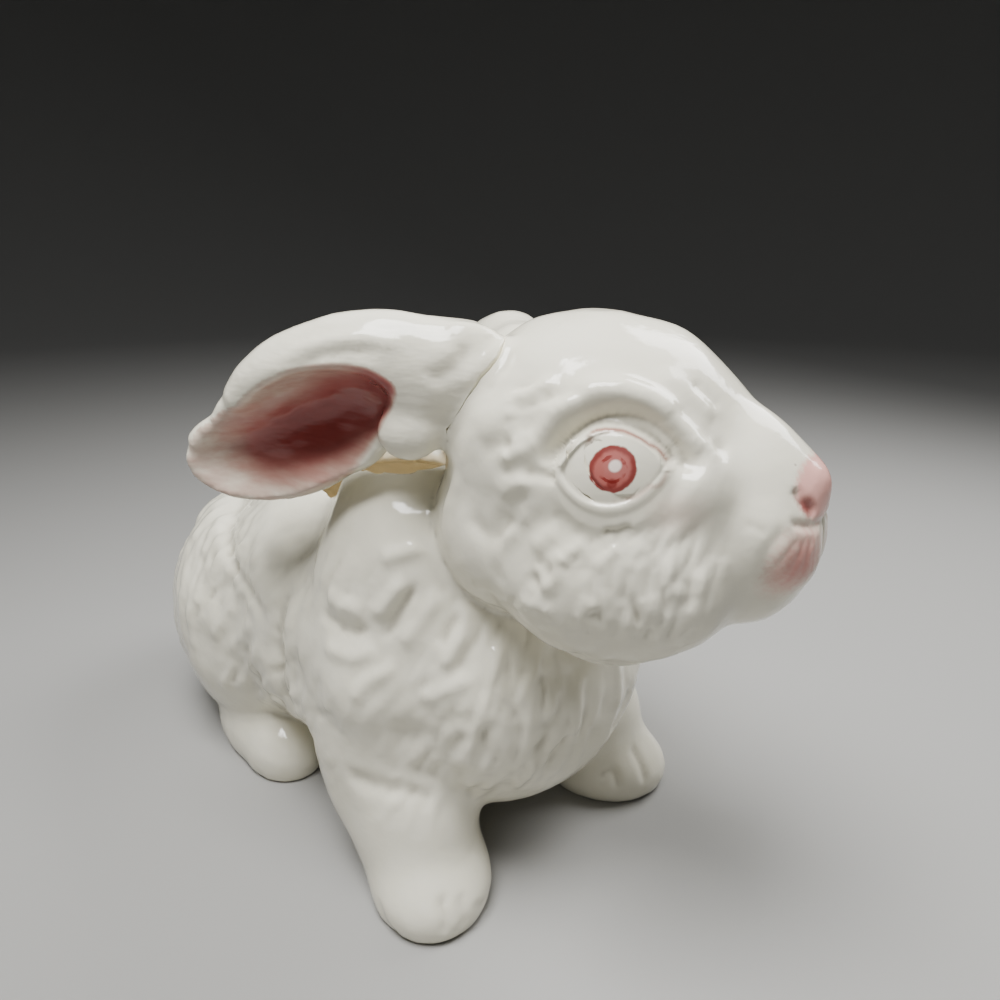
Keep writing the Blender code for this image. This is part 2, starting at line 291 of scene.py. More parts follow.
def carve(rows, tree, strokes, ends=0.2):
    """The height that the strokes add at each row. Each line is laid onto the skin first."""
    total = np.zeros(len(rows))
    for wide, high, points in strokes:
        line = curve_through(points)
        line = np.array([tree.find(spot)[0] for spot in line])
        line[1:-1] = (line[:-2] + 2 * line[1:-1] + line[2:]) / 4
        gap = np.full(len(rows), np.inf)
        share = np.zeros(len(rows))
        for number, spot in enumerate(line):
            found = tree.find_range(spot, 2.4 * wide)
            near = np.array([hit[1] for hit in found], dtype=int)
            away = np.array([hit[2] for hit in found])
            closer = away < gap[near]
            gap[near[closer]] = away[closer]
            share[near[closer]] = number / (len(line) - 1)
        edge = fade(share, -0.02, ends) * fade(1 - share, -0.02, ends)
        total += high * edge * np.exp(-(gap / wide) ** 2)
    return total


def twin(strokes, middle=0.0):
    """The strokes and their mirror images on the other side."""
    mirrored = []
    for wide, high, points in strokes:
        mirrored.append((wide, high, [(2 * middle - x, y, z) for x, y, z in points]))
    return strokes + mirrored


def combed(spots, guides):
    """The way the fur lies at each spot: each guide is a place and a way."""
    guides = np.array(guides, dtype=float)
    way = guides[:, 3:] / np.linalg.norm(guides[:, 3:], axis=1)[:, None]
    gap = ((spots[:, None] - guides[None, :, :3]) ** 2).sum(axis=2)
    pull = 1 / (gap + 36) ** 1.5
    lie = (pull[:, :, None] * way[None]).sum(axis=1)
    return lie / np.linalg.norm(lie, axis=1)[:, None]


def scattered(rows, cover, spacing, dice):
    """Corners picked at random where the cover is thick, no closer than about the spacing."""
    order = dice.permutation(len(rows))
    order = order[dice.random(len(rows)) < cover[order]]
    taken = set()
    kept = []
    for corner in order:
        cell = tuple((rows[corner] // spacing).astype(int))
        if cell not in taken:
            taken.add(cell)
            kept.append(corner)
    return np.array(kept)


def wander(rows, size, dice):
    """A smooth random field over the rows, mostly from -1 to 1, whose bumps have this size."""
    total = np.zeros(len(rows))
    for _ in range(16):
        wave = dice.normal(size=3)
        wave *= dice.uniform(0.6, 1.4) * math.pi / size / np.linalg.norm(wave)
        total += np.sin(rows @ wave + dice.uniform(0, 2 * math.pi))
    return total / 4


def tufts(rows, facing, tree, cover, guides, tuft, dice):
    """The height of overlapping tufts: each rises from its root, bends a little and drops at its tip."""
    spacing, long, wide, high, drop = tuft
    height = np.zeros(len(rows))
    seeds = scattered(rows, cover, spacing, dice)
    for spot, way in zip(seeds, combed(rows[seeds], guides)):
        size = dice.uniform(0.55, 1.4)
        length, width = long * size, wide * size * dice.uniform(0.75, 1.25)
        bend, lift = dice.uniform(-1.4, 1.4), high * dice.uniform(0.3, 1.0)
        up = facing[spot]
        way = way - up * way.dot(up)
        way /= np.linalg.norm(way) + 1e-9
        side = np.cross(up, way)
        turn = dice.normal(0, 0.22)
        cos, sin = math.cos(turn), math.sin(turn)
        way, side = way * cos + side * sin, side * cos - way * sin
        near = np.array([hit[1] for hit in tree.find_range(rows[spot], length * 0.6)])
        near = near[facing[near].dot(up) > 0.2]
        offset = rows[near] - rows[spot]
        along = offset.dot(way) / length + 0.5
        across = offset.dot(side) / width + bend * (along - 0.5) ** 2
        taper = 1.05 - 0.6 * np.clip(along, 0, 1) ** 2
        lens = np.clip(1 - (across / taper) ** 2, 0, 1) ** 0.8
        rise = fade(along, 0.0, 0.7) * (1 - fade(along, drop, 1.0))
        height[near] = np.maximum(height[near], lift * lens * rise)
    return height


def gouges(rows, facing, tree, cover, guides, gouge, dice):
    """The depth of short gouges that part one tuft from the next."""
    spacing, long, wide, deep = gouge
    depth = np.zeros(len(rows))
    seeds = scattered(rows, cover, spacing, dice)
    for spot, way in zip(seeds, combed(rows[seeds], guides)):
        length, width = long * dice.uniform(0.5, 1.5), wide * dice.uniform(0.6, 1.4)
        side = np.cross(facing[spot], way)
        side /= np.linalg.norm(side) + 1e-9
        near = np.array([hit[1] for hit in tree.find_range(rows[spot], length * 1.4)])
        offset = rows[near] - rows[spot]
        along, across = offset.dot(way) / length, offset.dot(side) / width
        pressed = deep * dice.uniform(0.35, 1) * np.exp(-2 * along ** 2 - across ** 2)
        depth[near] = np.maximum(depth[near], pressed)
    return depth


# The pot's fur, carved in the model that the pot's mould was made from. It lies back and down from the neck
# over the chest, the shoulders, the barrel and the haunches, and stops above the legs and the smooth collar.
# A guide of the comb is a place and the way the fur lies there, in millimetres.
POT_COMB = [
    (-36, -49, 111, -7, 9, -6), (-32, -56, 101, -5, 2, -10), (-47, -32, 97, -5, 7, -17),
    (-26, -68, 81, -5, 0, -12), (-14, -77, 72, -1, 0, -9), (-38, -58, 73, -7, 9, -13),
    (6, -81, 60, 1, 2, -10), (-51, -12, 77, 1, 9, -26), (-48, -42, 46, -1, 11, -17),
    (-41, 3, 99, -6, 13, -9), (-45, 9, 93, -5, 6, -11), (-52, 70, 75, -5, -4, -15),
    (-52, 39, 56, -3, 8, -14), (-52, 11, 59, 4, 26, -28), (-30, 115, 60, 4, 3, -12),
    (-20, 60, 103, -4, 10, -3), (-48, 100, 40, -3, 6, -10), (-20, 110, 90, -3, 9, -8),
]
POT_COMB += [(-x, y, z, -across, back, down) for x, y, z, across, back, down in POT_COMB]
SHOULDER = [
    (2.8, -2.6, [(-46, -4, 90), (-49, 0, 79), (-50, 1.5, 71), (-51, 2, 61), (-50, 3, 51),
                 (-48, -2, 41), (-48, -11, 33)]),
    (1.5, 1.1, [(-47, -10, 89), (-50, -7, 78), (-51, -5.5, 71), (-51, -5.5, 62), (-50, -5, 51),
                (-50, -10, 42)]),
    (5.0, -1.5, [(-46, -49, 59), (-41, -56, 59), (-35, -62, 58)]),
    (2.6, -1.7, [(-52, -36, 43), (-48, -44, 42), (-43, -51, 42), (-34, -58, 40)]),
    (3.6, -1.3, [(-15, -77, 57), (-11, -77, 52), (-5, -76, 44)]),
    (0.8, -0.9, [(-52, -22, 55), (-52, -26.5, 57), (-52.5, -30, 60), (-52, -34, 59)]),
    (0.8, 0.7, [(-25, -67, 43), (-25, -64, 38), (-24, -59, 30)]),
    (2.6, 1.5, [(-48, -27, 95), (-47, -36, 94), (-45, -42, 94)]),
    (1.6, -1.2, [(-49, -25, 89), (-48, -36, 87), (-45, -44, 89)]),
    (1.9, 1.4, [(-40, -44, 108), (-37, -48, 110), (-32, -52, 112)]),
    (2.0, 1.5, [(-38, -50, 104), (-41, -48, 98), (-44, -44, 92)]),
    (1.6, -1.3, [(-36, -53, 103), (-40, -50, 94), (-44, -47, 87)]),
    (2.2, 1.3, [(-31, -57, 101), (-36, -54, 92), (-41, -52, 85)]),
    (2.2, 1.3, [(-25, -61, 98), (-30, -61, 87), (-34, -60, 80)]),
    (1.5, -1.1, [(-28, -60, 95), (-33, -59, 86)]),
    (2.0, 1.1, [(-21, -68, 87), (-25, -69, 77), (-29, -69, 68)]),
    (1.8, 1.0, [(-12, -74, 83), (-16, -76, 73), (-19, -75, 62)]),
    (1.8, 1.0, [(-1, -79, 75), (-3, -80, 65), (-5, -79, 53)]),
    (2.4, 1.3, [(-51, -27, 81), (-49, -40, 81), (-45, -47, 84)]),
    (2.2, 1.2, [(-50, -42, 68), (-47, -46, 76), (-42, -52, 80)]),
    (2.2, 1.2, [(-39, -57, 71), (-34, -62, 75), (-29, -66, 79)]),
    (2.0, 1.0, [(-33, -65, 62), (-29, -69, 66), (-24, -72, 70)]),
]
HAUNCH = [
    (3.0, -1.6, [(-29, 68, 93), (-40, 50, 85), (-46, 34, 80), (-49, 18, 77), (-50, 6, 73)]),
    (3.0, 0.5, [(-35, 75, 93), (-45, 57, 85), (-50, 41, 80), (-52, 25, 77), (-52, 12, 73)]),
    (2.4, 1.5, [(-52, 10, 66), (-52, 24, 50), (-50, 40, 32)]),
    (2.2, 1.3, [(-52, 27, 55), (-53, 38, 42), (-53, 49, 29)]),
    (2.2, 1.4, [(-51, 0, 65), (-49, 16, 46), (-45, 35, 26)]),
    (2.0, 1.2, [(-51, 35, 71), (-54, 41, 61), (-55, 48, 51)]),
    (2.0, 1.0, [(-48, 54, 79), (-53, 55, 70), (-55, 55, 61)]),
    (2.2, 1.2, [(-52, 18, 70), (-53, 28, 60), (-52, 39, 48)]),
    (2.0, 1.0, [(-55, 59, 63), (-57, 60, 53), (-57, 60, 43)]),
    (2.0, 1.1, [(-51, -5, 63), (-48, 8, 49), (-44, 24, 33)]),
    (1.4, -1.2, [(-53, 22, 60), (-54, 34, 45), (-53, 42, 34)]),
]
PAWS = [
    (1.3, -1.2, [(-42, -67.5, 15), (-43.5, -70.5, 10), (-44, -72, 4)]),
    (1.2, -0.9, [(-37, -70, 14), (-38, -72.5, 9), (-38, -73, 4)]),
    (1.4, -0.8, [(-53, -53, 9), (-52.5, -56, 3), (-51, -60, 1)]),
    (1.2, -0.8, [(-34, -72.5, 9), (-31, -72, 6), (-28, -70, 4)]),
    (1.3, -1.1, [(31, -61, 9.5), (35.5, -64, 13), (36, -68, 6)]),
    (1.3, -1.1, [(44, -64.5, 19), (45, -68.6, 15), (44, -71, 6)]),
]
# Tufts are a spacing, a length, a width, a height and the share of the length where the tip drops off. Gouges
# are a spacing, a length, a width and a depth. The shoulders stand a little to the left of the pot's middle.
LONG_TUFTS = (7.5, 28.0, 4.2, 1.5, 0.66)
SHORT_TUFTS = (5.5, 16.0, 2.2, 0.45, 0.66)
FUR_GOUGES = (6.5, 11.0, 1.5, 1.0)
SHOULDERS_MIDDLE = 6.0


def out_of_the_pot(rows, facing):
    """How far each row faces away from the line through the pot's middle: below zero it is inside."""
    core = np.stack([rows[:, 0] * 0, np.clip(rows[:, 1], -35, 75), rows[:, 0] * 0 + 60], axis=1)
    return ((rows - core) * facing).sum(axis=1)


dice = np.random.default_rng(11)
rows, facing = corners(skin) / MM, facings(skin)
x, y, z = rows.T
tree = index(rows)
outward = out_of_the_pot(rows, facing)
on_pot = ~np.isin(owner, HEAD_AND_EARS)
seam = fade(np.sort(far, axis=0)[1], 0.6 * MM, 4 * MM)
cover = on_pot * fade(z, 27, 43) * fade(outward, -2, 2) * fade(sky, 0.1, 0.3)
cover *= 1 - fade(z, 98, 112) * (1 - fade(y, 20, 40))
cover *= 1 - 0.75 * fade(z, 90, 99) * fade(y, 0, 20)
cover *= fade(far[HEAD], 1.5 * MM, 5 * MM)
height = tufts(rows, facing, tree, cover, POT_COMB, LONG_TUFTS, dice)
height += tufts(rows, facing, tree, cover, POT_COMB, SHORT_TUFTS, dice)
height -= gouges(rows, facing, tree, cover, POT_COMB, FUR_GOUGES, dice)
relief = (height * (0.8 + 0.5 * wander(rows, 26, dice)) - 0.4) * cover
relief += 0.8 * wander(rows, 16, dice) * fade(outward, -2, 2) * fade(z, 10, 40) * on_pot
strokes = twin(SHOULDER, SHOULDERS_MIDDLE) + twin(HAUNCH) + PAWS
relief += carve(rows, tree, strokes) * fade(sky, 0.05, 0.2)
relief *= (0.3 + 0.7 * seam) * on_pot
neck = np.maximum(far[HEAD], far[POT])
relief -= 1.1 * (1 - fade(neck, 0.6 * MM, 2.4 * MM)) * fade(sky, 0.05, 0.2)
move(skin, (rows + facing * relief[:, None]) * MM)


# The head's carving, cut in the model of the head's own mould. The crown and the muzzle are smooth, and the
# cheeks, the jaw and the temples carry short, wet-looking tufts. Places are in the head's own frame, where -Y
# is forward: the head is turned 19 degrees to its left.
HEAD_MIDDLE = np.array([3.0, -86.0, 129.0])
HEAD_TURN = math.radians(19)
TURN = np.array([
    [math.cos(HEAD_TURN), -math.sin(HEAD_TURN), 0],
    [math.sin(HEAD_TURN), math.cos(HEAD_TURN), 0],
    [0, 0, 1],
])


def in_head(rows):
    """The rows in the head's frame, in millimetres."""
    return (rows / MM - HEAD_MIDDLE) @ TURN


def finer(thing, wanted):
    """Cut the edges in half wherever both their ends are wanted."""
    shape = bmesh.new()
    shape.from_mesh(thing.data)
    shape.verts.ensure_lookup_table()
    edges = [edge for edge in shape.edges if wanted[edge.verts[0].index] and wanted[edge.verts[1].index]]
    bmesh.ops.subdivide_edges(shape, edges=edges, cuts=1, use_grid_fill=True)
    shape.to_mesh(thing.data)
    shape.free()


HEAD_COMB = [
    (-32, 8, 9, 0, 5, -1), (-31, 16, 2, 3, 10, -8), (-30, 20, 14, 6, 13, -3), (-35, -2, -6, 0, 9, -10),
    (-33, 10, -6, 4, 11, -14), (-35, -12, -14, 1, -2, -8), (-33, -18, -12, 1, 0, -8),
    (-29, -25, -9, 0, 1, -8), (-25, -30, -7, -1, 0, -7), (-26, 32, -9, 1, 0, -11),
    (-30, -14, 4, -1, 4, -2), (-25, -24, 4, -3, 3, -3), (-20, 36, 33, -5, 8, 3), (-23, 26, 31, -5, 9, -5),
    (-25, 15, 29, 3, 14, -5), (-26, 11, 28, 0, 11, -5), (-14, -8, -34, 0, 6, -3), (-10, 20, -34, 0, 8, 0),
]
HEAD_COMB += [(-x, y, z, -across, back, down) for x, y, z, across, back, down in HEAD_COMB]
CHEEK = [
    (1.7, -1.1, [(-28, 26, -4), (-29, 23, -6), (-29.5, 21, -8)]),
    (2.0, -1.1, [(-34, 6, -8), (-35, 3, -9.5), (-35, 0.5, -10)]),
    (1.7, -1.0, [(-35, 7, -12), (-35, 4, -14)]),
    (2.0, -1.0, [(-34.5, -8, -17), (-34.5, -11, -18)]),
    (1.4, -0.8, [(-30, 18, -14), (-31, 15, -17)]),
    (2.0, 0.8, [(-31.4, 14, 2.7), (-30.5, 19, -1), (-28.5, 23, -5.6)]),
    (2.0, 0.8, [(-32, 11, -2), (-31.5, 15, -7), (-30.6, 19, -11.7)]),
    (2.0, 0.8, [(-34.7, -2, -5.7), (-35, 2, -8), (-34.9, 6, -12)]),
    (1.8, 0.8, [(-35.2, -2.4, -8.5), (-35.3, 1, -12), (-35.1, 4, -14.7)]),
    (1.8, 0.8, [(-35.1, -8.6, -13.4), (-34.9, -7, -17), (-34.4, -5.5, -20.8)]),
    (1.8, 0.7, [(-32.3, 8, 2.4), (-32, 12, -2), (-31.2, 16, -6.6)]),
    (1.8, 0.7, [(-33, 0.5, -0.6), (-33.8, 4, -3), (-34, 7, -6.7)]),
    (1.7, 0.7, [(-33.5, -6.7, -2.5), (-34.6, -3, -4.5), (-35.1, -0.7, -7.7)]),
    (1.8, 0.7, [(-32, -12.8, -1.8), (-33.7, -10, -4), (-34.8, -7.5, -7.5)]),
    (1.7, 0.6, [(-29.9, -18.6, -1.4), (-31.8, -17, -4), (-33.1, -15.7, -7.5)]),
    (1.8, 0.8, [(-33.3, 9.8, -19.4), (-34.4, 5, -19.2), (-34.9, 0.3, -18.8)]),
    (1.5, -0.7, [(-33, 12, 0), (-32, 16, -4), (-30, 20, -8.5)]),
]
BEARD = [
    (1.5, 0.6, [(-34, -14, -13), (-33, -15.5, -17), (-32, -17, -21)]),
    (1.4, 0.6, [(-33, -18, -12), (-32, -19, -16), (-31, -20, -20)]),
    (1.4, 0.6, [(-32, -20.5, -11), (-31, -22, -15), (-30, -23, -18)]),
    (1.5, 0.6, [(-30, -24, -9), (-29.4, -25, -12), (-29, -26, -15)]),
    (1.4, 0.6, [(-26, -28, -6.5), (-26, -29, -9), (-26, -29.5, -12.4)]),
    (1.4, 0.4, [(-23, -30, -4), (-24.5, -30, -7), (-26, -29, -10)]),
    (1.2, 0.4, [(-21, -32.5, -4.6), (-22, -32, -7), (-22.6, -32, -10)]),
    (1.4, 0.6, [(-34.6, -11, -11), (-34.4, -11, -15), (-33.5, -12, -20)]),
    (1.2, -0.6, [(-33.5, -16, -12), (-32.6, -17, -16), (-31.5, -18.5, -20)]),
    (1.2, -0.6, [(-31, -22.5, -9), (-30.4, -23, -13), (-29.6, -24.4, -17)]),
    (1.2, -0.5, [(-28, -26, -8), (-27.7, -27, -11), (-27.4, -28, -14)]),
    (1.9, -0.8, [(-28.4, -26, -12), (-28.9, -26, -15)]),
]
TEMPLE = [
    (2.0, 1.0, [(-25.4, 5, 30), (-27, 11, 27), (-28.1, 18, 23)]),
    (1.7, -0.9, [(-26.2, -2.5, 28), (-27.4, 3, 27.4), (-28.1, 8, 26)]),
    (2.0, 1.0, [(-29, 12.5, 23.6), (-29.5, 18, 20), (-29, 22.6, 15.6)]),
    (2.1, -1.4, [(-30.6, 12, 16.5), (-30, 17, 15.5), (-29, 23, 12.5)]),
    (2.0, 1.0, [(-32.6, 8, 9.4), (-31.8, 13, 7.5), (-30.6, 19, 4.8)]),
    (1.8, 0.8, [(-25.4, 30, 4), (-24, 33, 0), (-22.7, 36.7, -5.6)]),
    (1.8, 0.8, [(-31.4, 6.4, 18.2), (-31.6, 11, 15.5), (-31.5, 16, 12.5)]),
    (1.7, -0.8, [(-32, 6, 13), (-32, 11, 11), (-31, 17, 8.5)]),
    (2.2, -1.1, [(-20.6, -17.3, 26.6), (-17.6, -23.8, 20.4), (-14.5, -29.8, 15.3)]),
    (2.6, 0.8, [(-16.7, -12, 32), (-14.5, -20.4, 27), (-11.5, -25.5, 22.5)]),
    (2.0, -0.6, [(-12.5, -19.5, 30.3), (-10.5, -25.9, 24.1)]),
    (1.8, 0.8, [(-24.6, 34.7, 38.9), (-19.3, 28, 38.8), (-12.1, 23.3, 36.7)]),
    (1.9, 1.1, [(-12.1, 23.3, 36.7), (-20.5, 24.4, 32.5), (-25.6, 29.8, 26.5)]),
    (2.1, -1.1, [(-22, 28.5, 36), (-26.5, 31.5, 30.5), (-29, 37, 28)]),
    (1.7, -0.8, [(-16, 20, 33), (-21, 20, 30), (-25, 24, 25)]),
]
NOSE = [
    (1.3, -1.0, [(-9.7, -42.7, 9.6), (-9.9, -44.2, 6.9), (-8.4, -46, 5), (-6.3, -47.6, 2.9)]),
    (1.1, -0.7, [(-14, -42.5, 3), (-10.5, -45.5, 1.2), (-5.7, -48.1, 0.6), (0, -49.5, 0.4)]),
    (1.8, -0.6, [(-13.3, -43, 2), (-17, -40.3, -2), (-17.5, -40, -7), (-14, -42, -12)]),
    (0.8, -0.16, [(-12, -44.5, -0.5), (-14.5, -42.5, -4), (-16, -41, -8)]),
    (0.8, -0.16, [(-10.4, -45.3, -0.8), (-12.4, -44.5, -5), (-13.3, -43.4, -9)]),
    (0.8, -0.16, [(-8.6, -46.6, -1), (-10.2, -46, -5), (-10.6, -45.4, -9)]),
    (0.7, -0.16, [(-6.6, -47.8, -1.4), (-7.6, -47.6, -5), (-7.8, -47, -9)]),
    (0.8, -0.3, [(-18, -34.5, 2.5), (-17.5, -37, 1.6), (-16.8, -39.4, 0.3)]),
    (1.0, -0.7, [(-28, -13.9, 2.5), (-29.5, -11, 1), (-31, -8.5, 0.7)]),
]
PHILTRUM = [(0.9, -1.3, [(0, -49.5, 3), (0, -49.5, -2), (0, -49, -7), (0, -48, -12)])]
LIDS = [
    (2.3, -3.4, [(-30, 4.5, 9.5), (-30, 3, 16), (-29, -1, 21), (-28, -5.5, 23.7), (-27, -10.4, 24.4),
                 (-26, -15.6, 22.9), (-24, -19.8, 18.6), (-21, -24.5, 13.6)]),
    (3.2, 2.1, [(-30, 8, 15), (-28, 4, 23), (-26, -3, 28.2), (-24, -12, 29.2), (-22, -19.5, 26),
                (-20, -25, 20.5), (-18, -29.5, 15.5)]),
    (2.6, -1.6, [(-24, -18.5, 17.5), (-22, -21, 15.5), (-20, -25.5, 13)]),
    (1.2, -0.9, [(-31, 1.5, 10.2), (-31, 5, 10.8), (-31, 10, 10.4)]),
]

# The ears' frames: the side, the spread to that side in degrees and the height of the root. Strokes on an ear
# are given along it from its root, up across it and out of its cup.
EAR_FRAMES = {"left_ear": (1, 40.0, 22.0), "right_ear": (-1, 9.0, 27.0)}
EAR_DROOP, EAR_ROLL = math.radians(17.5), math.radians(10)
EAR_ROOT_ASIDE, EAR_ROOT_BACK = 20.0, 34.7


def ear_frame(casting):
    """The ear's root in the head's frame, and its ways along to the tip, up across it and out of its cup."""
    side, spread, rise = EAR_FRAMES[casting]
    spread = math.radians(spread)
    level = math.cos(EAR_DROOP)
    along = np.array([side * math.sin(spread) * level, math.cos(spread) * level, -math.sin(EAR_DROOP)])
    out = np.array([side * math.cos(spread), -math.sin(spread), -math.tan(EAR_ROLL)])
    out -= out.dot(along) * along
    out /= np.linalg.norm(out)
    root = np.array([side * EAR_ROOT_ASIDE, EAR_ROOT_BACK, rise])
    return root, np.stack([along, np.cross(out, along) * side, out])


EAR_STROKES = [
    (4.2, 1.6, [(84, 5, 4), (80, 9, 4), (74, 12.5, 4), (67, 15, 4)]),
    (2.0, 0.4, [(72, 2, 2), (58, 5, 0), (44, 8, 0), (30, 9, 0)]),
    (1.6, -0.5, [(75, -2, 2), (60, 0, 0), (46, 2, 0), (32, 3, 0)]),
    (1.8, 0.4, [(70, -6, 2), (56, -5, 0), (42, -4, 0), (28, -2, 0)]),
    (1.6, -0.4, [(66, -10, 2), (52, -10, 0), (38, -8, 0)]),
    (1.6, 0.7, [(40, 18, 10), (28, 20, 10), (14, 18, 10), (2, 14, 10)]),
    (1.5, -0.8, [(34, 15, 11), (22, 16, 11), (10, 13, 10)]),
]


def on_ears(strokes):
    """The ears' strokes in the head's frame, on both ears."""
    placed = []
    for casting in EAR_FRAMES:
        root, ways = ear_frame(casting)
        placed += [(wide, high, np.array(points) @ ways + root) for wide, high, points in strokes]
    return placed


# The eye's middle on the side of the head, half its opening's length, how far that opens up and down, and the
# rise of its front corner.
EYE = (-9.3, 13.6)
EYE_HALF, EYE_UP, EYE_DOWN = 9.9, 7.4, 6.9
EYE_TILT = math.radians(8)


def almond(places):
    """How far each place lies from the eye's middle: 1 on the edge of its opening. Both eyes at once."""
    forward, above = EYE[0] - places[:, 1], places[:, 2] - EYE[1]
    along = forward * math.cos(EYE_TILT) + above * math.sin(EYE_TILT)
    across = above * math.cos(EYE_TILT) - forward * math.sin(EYE_TILT)
    return (along / EYE_HALF) ** 2 + np.abs(across / np.where(across > 0, EYE_UP, EYE_DOWN)) ** 1.35


def terms(places):
    """The terms of a quadratic round the eye's middle."""
    v, w = places[:, 1] - EYE[0], places[:, 2] - EYE[1]
    return np.stack([v * 0 + 1, v, w, v * v, v * w, w * w], axis=1)


def head_look():
    """The skin in the head's frame: each corner's place, its facing and how far it lies from an eye."""
    places = in_head(corners(skin))
    return places, facings(skin) @ TURN, np.hypot(places[:, 1] - EYE[0], places[:, 2] - EYE[1])


# The skin is cut finer on the face, and finer still round the eyes and on the muzzle.
places, turned, gap = head_look()
face = (places[:, 1] < 16) & (places[:, 2] > -24) & (places[:, 2] < 31) & (abs(places[:, 0]) > 9)
finer(skin, (owner == HEAD) & ((places * turned).sum(axis=1) > 0) & face)
places, turned, gap = head_look()
owner, sky = looked_up(corners(skin))
muzzle = (places[:, 1] < -40) & (places[:, 2] > -12) & (places[:, 2] < 13)
eyes = (gap < 13) & (abs(places[:, 0]) > 14)
finer(skin, (owner == HEAD) & ((places * turned).sum(axis=1) > 0) & (eyes | muzzle))

# The eye's place: a smooth side first, fitted through the skin round it, that the eye is then carved in.
places, turned, gap = head_look()
owner, sky = looked_up(corners(skin))
on_head = owner == HEAD
with_ears = np.isin(owner, HEAD_AND_EARS)
sockets = {}
for side in (1, -1):
    across = places[:, 0] * side
    outer = (across > 13) & (across < 42) & (gap < 17.5) & (turned[:, 0] * side > 0.1)
    ring = outer & (gap > 12.5) & (turned[:, 0] * side > 0.3)
    sockets[side] = np.linalg.lstsq(terms(places[ring]), across[ring], rcond=None)[0]
    patch = outer & (gap < 16.5)
    share = 1 - fade(gap[patch], 12.0, 16.5)
    places[patch, 0] = side * (across[patch] * (1 - share) + terms(places[patch]) @ sockets[side] * share)
move(skin, (places @ TURN.T + HEAD_MIDDLE) * MM)
sponge(skin, 0.9 * (on_head & (sky > 0.1)) * (1 - fade(gap, 15, 19)), 6)

# The cheeks', the jaw's and the temples' fur, and then the strokes of the face and the ears.
CHEEK_TUFTS = (6.0, 19.0, 2.8, 0.80, 0.66)
CHEEK_GOUGES = (5.0, 7.0, 1.0, 0.65)
rows, facing = corners(skin), facings(skin)
places, turned = in_head(rows), facing @ TURN
hy, hz = places[:, 1], places[:, 2]
tree = index(places)
outward = (places * turned).sum(axis=1)
inner = 1 - fade(outward, -2, 2)
far = clearances(rows, 5 * MM)
seam = fade(np.sort(far, axis=0)[1], 0.6 * MM, 4 * MM)
cover = np.maximum((1 - fade(hz, 0, 7)) * fade(hy, -36, -22), fade(hy, 4, 11) * (1 - fade(hz, 27, 35)))
cover *= fade(gap, 12.5, 16) * fade(sky, 0.08, 0.25) * (1 - inner) * on_head * seam
height = tufts(places, turned, tree, cover, HEAD_COMB, CHEEK_TUFTS, dice)
height -= gouges(places, turned, tree, cover, HEAD_COMB, CHEEK_GOUGES, dice)
relief = (height * (0.85 + 0.45 * wander(places, 15, dice)) - 0.25) * cover
uneven = np.where(on_head, 0.5, 0.2) * wander(places, 11, dice)
relief += uneven * (1 - inner) * with_ears * fade(gap, 12, 16)
shown = fade(sky, 0.03, 0.12) * with_ears * (1 - inner * on_head)
strokes = twin(CHEEK + BEARD + TEMPLE + NOSE + LIDS) + PHILTRUM + on_ears(EAR_STROKES)
relief += carve(places, tree, strokes) * shown
relief = np.where(relief > 0, relief * (0.4 + 0.6 * seam), relief)
rows = rows + facing * (relief * MM)[:, None]

# The lids follow the opening, the lower one half as high. The eyeball lies in it, flush in its middle and
# tucked under the lids at its edges.
LID_HIGH = 0.9
BALL_OUT, BALL_SLOPE, BALL_ROUND = 0.5, 0.85, 44
places = in_head(rows)
edge = almond(places)
lid = fade(edge, 0.98, 1.10) * (1 - fade(edge, 1.22, 1.65)) * np.where(places[:, 2] > EYE[1], 1.0, 0.5)
side = np.sign(places[:, 0])
places[:, 0] += side * lid * LID_HIGH * (on_head & (turned[:, 0] * side > 0.1))
for side in (1, -1):
    across = places[:, 0] * side
    here = (across > 12) & (across < 42) & (edge < 1.3) & on_head & (turned[:, 0] * side > 0.1)
    lie = terms(places[here])
    swell = lie[:, 1] ** 2 + lie[:, 2] ** 2
    slope = lie[:, 1:3] @ sockets[side][1:3]
    ball = sockets[side][0] + BALL_OUT + BALL_SLOPE * slope - swell / BALL_ROUND
    share = 1 - fade(edge[here], 0.90, 1.10)
    places[here, 0] = side * (across[here] * (1 - share) + ball * share)
move(skin, (places @ TURN.T + HEAD_MIDDLE) * MM)
sponge(skin, 0.8 * on_head * (edge > 0.7) * (1 - fade(edge, 1.3, 1.6)), 4)
sponge(skin, 0.9 * on_head * fade(gap, 13, 17) * fade(places[:, 1], -40, -34), 6)
sponge(skin, np.where(with_ears, 0.6, 0.9), 3)


# The parting. The skin is cut back into the castings that the moulds made, each a closed piece of its own.
# A casting takes what lies within a millimetre of its CAD solid at a joint, and more away from the joints.
KNIFE_SPARE, KNIFE_MORE = 1.0, 2.5


def parted(number, casting):
    """The casting's own piece, cut off the skin."""
    solid = merged(casting)
    places = np.array([corner.co for corner in solid.verts])
    gap = np.min(np.delete(clearances(places, 6 * MM), number, axis=0), axis=0)
    spare = KNIFE_SPARE + KNIFE_MORE * fade(gap, 1.5 * MM, 6 * MM)
    for corner, swell in zip(solid.verts, spare):
        corner.co += corner.normal * swell * MM
    knife = stood(casting + " knife", solid)
    knife.data.materials.append(clay)
    knife.data.materials.append(bare)
    knife.data.polygons.foreach_set("material_index", [1] * len(knife.data.polygons))
    piece = bpy.data.objects.new(casting + "_clay", skin.data.copy())
    bpy.context.scene.collection.objects.link(piece)
    for thing, operation in ((piece, "INTERSECT"), (skin, "DIFFERENCE")):
        cut = thing.modifiers.new("part", "BOOLEAN")
        cut.operation = operation
        cut.object = knife
        cut.solver = "MANIFOLD"
        worked(thing)
    bpy.data.objects.remove(knife)
    return piece


